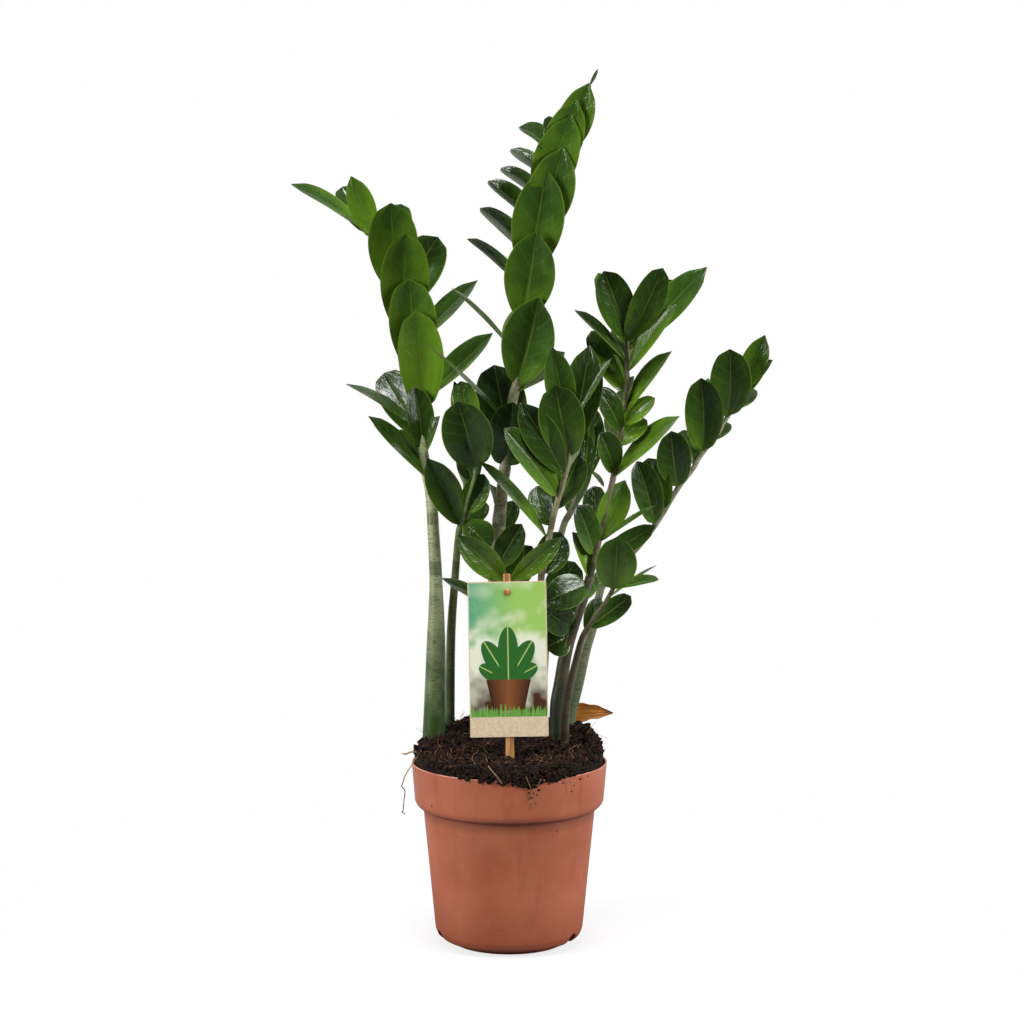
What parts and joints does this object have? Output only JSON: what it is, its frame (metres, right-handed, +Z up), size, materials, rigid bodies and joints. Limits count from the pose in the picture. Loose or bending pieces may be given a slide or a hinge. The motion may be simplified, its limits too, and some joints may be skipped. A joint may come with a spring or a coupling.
{
  "type": "potted zz plant",
  "caption": "Leafy houseplant with upright fleshy fronds of glossy leaflets, standing in heaped soil in a round terracotta-coloured plastic pot with a label on a stick.",
  "frame": {"origin": "centre of the pot's underside, on the foot disc that it stands on", "axes": "+Z up along the pot's axis, -Y towards the front with the label, +X to the right seen from the front"},
  "size_m": [0.4275, 0.1867, 0.752],
  "materials": {
    "pot_plastic": "satin",
    "peat_soil": "matte",
    "zz_leaf": "gloss",
    "dry_sheath": "matte",
    "label_card": "satin",
    "label_wood": "matte"
  },
  "bodies": {
    "root": {"pot": "pot_plastic", "soil": "peat_soil", "frond_left_tall": "zz_leaf", "frond_left_thin": "zz_leaf", "frond_centre_tall": "zz_leaf", "frond_centre": "zz_leaf", "frond_right_centre": "zz_leaf", "frond_right": "zz_leaf", "frond_rear": "zz_leaf", "frond_low_right": "zz_leaf", "frond_front_low": "zz_leaf", "dry_leaf": "dry_sheath", "label_card": "label_card", "label_stick": "label_wood"}
  },
  "joints": []
}
